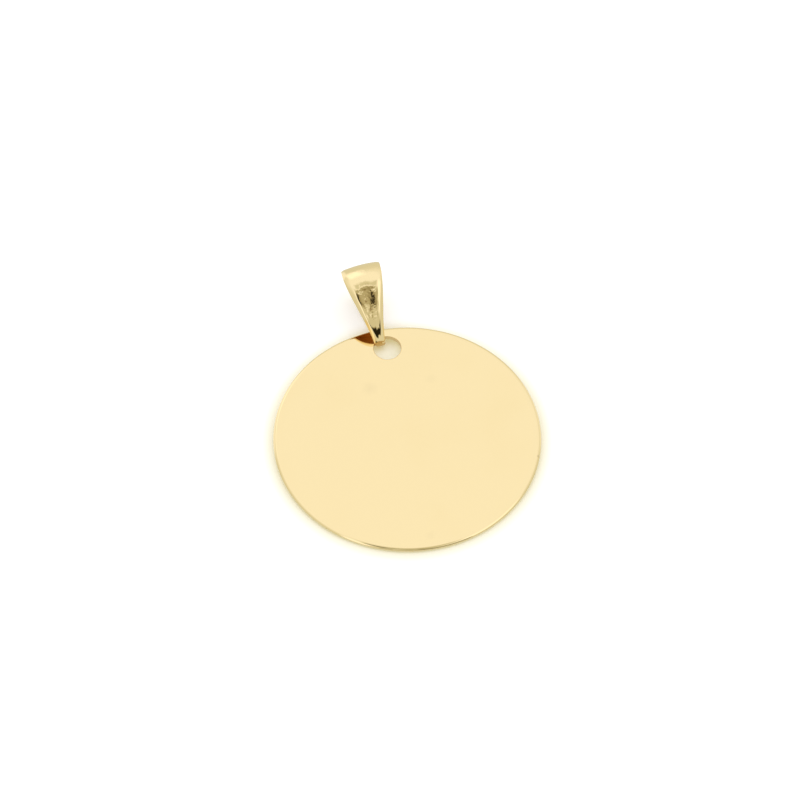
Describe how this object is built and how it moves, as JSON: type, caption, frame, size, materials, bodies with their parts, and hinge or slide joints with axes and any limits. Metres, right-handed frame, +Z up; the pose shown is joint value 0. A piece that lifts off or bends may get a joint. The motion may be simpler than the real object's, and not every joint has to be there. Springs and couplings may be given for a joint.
{
  "type": "disc pendant",
  "caption": "Plain round polished tag with a tapered, dished bail through a hole by its rim, lying on a surface; a chain passes through the bail's head.",
  "frame": {"origin": "middle of the footprint, on the surface that the pendant lies on", "axes": "+Z up from the surface, +Y from the middle of the disc towards its hole and bail, +X to the right"},
  "size_m": [0.025, 0.0308, 0.0055],
  "materials": {
    "polished_gold": "mirror-polished yellow gold"
  },
  "bodies": {
    "root": {"disc": "polished_gold", "bail": "polished_gold"}
  },
  "joints": []
}
